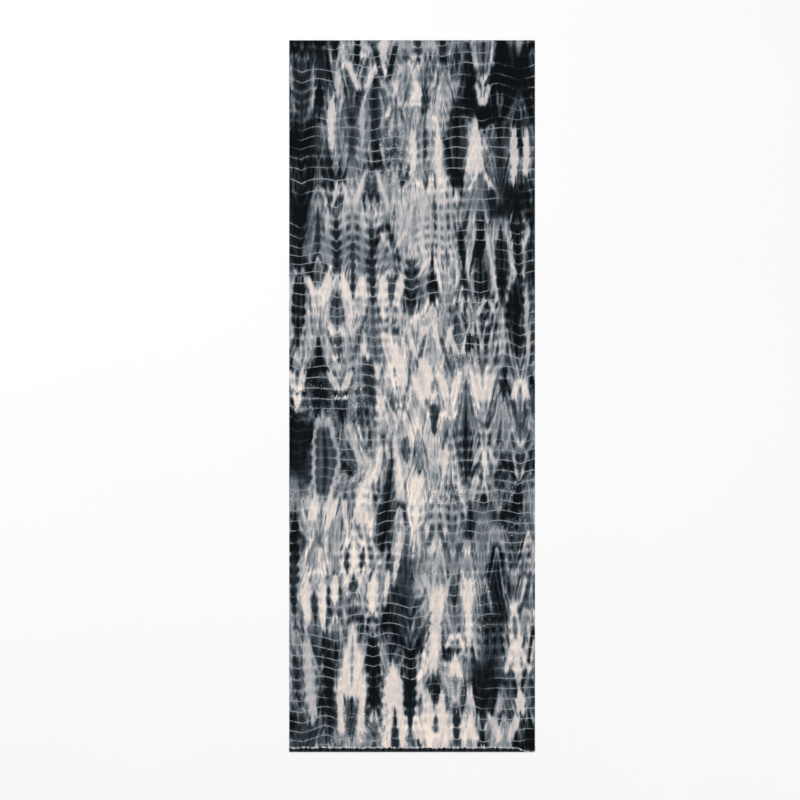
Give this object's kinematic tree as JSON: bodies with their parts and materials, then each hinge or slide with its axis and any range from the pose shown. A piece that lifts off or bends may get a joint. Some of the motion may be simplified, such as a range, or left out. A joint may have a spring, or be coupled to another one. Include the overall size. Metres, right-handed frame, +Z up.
{
  "type": "shibori dyed cloth",
  "caption": "Long rectangular dyed cotton cloth, laid flat, with a narrow turned hem along its foot.",
  "frame": {"origin": "on the surface the cloth lies on, under the middle of the cloth", "axes": "+X across the cloth to its right, +Y along it towards its head, +Z up out of its face"},
  "size_m": [0.368, 1.066, 0.0023],
  "materials": {
    "dyed_cotton": "matt plain weave, dyed from near black through slate grey, with undyed cream marks"
  },
  "bodies": {
    "root": {"cloth": "dyed_cotton"}
  },
  "joints": []
}
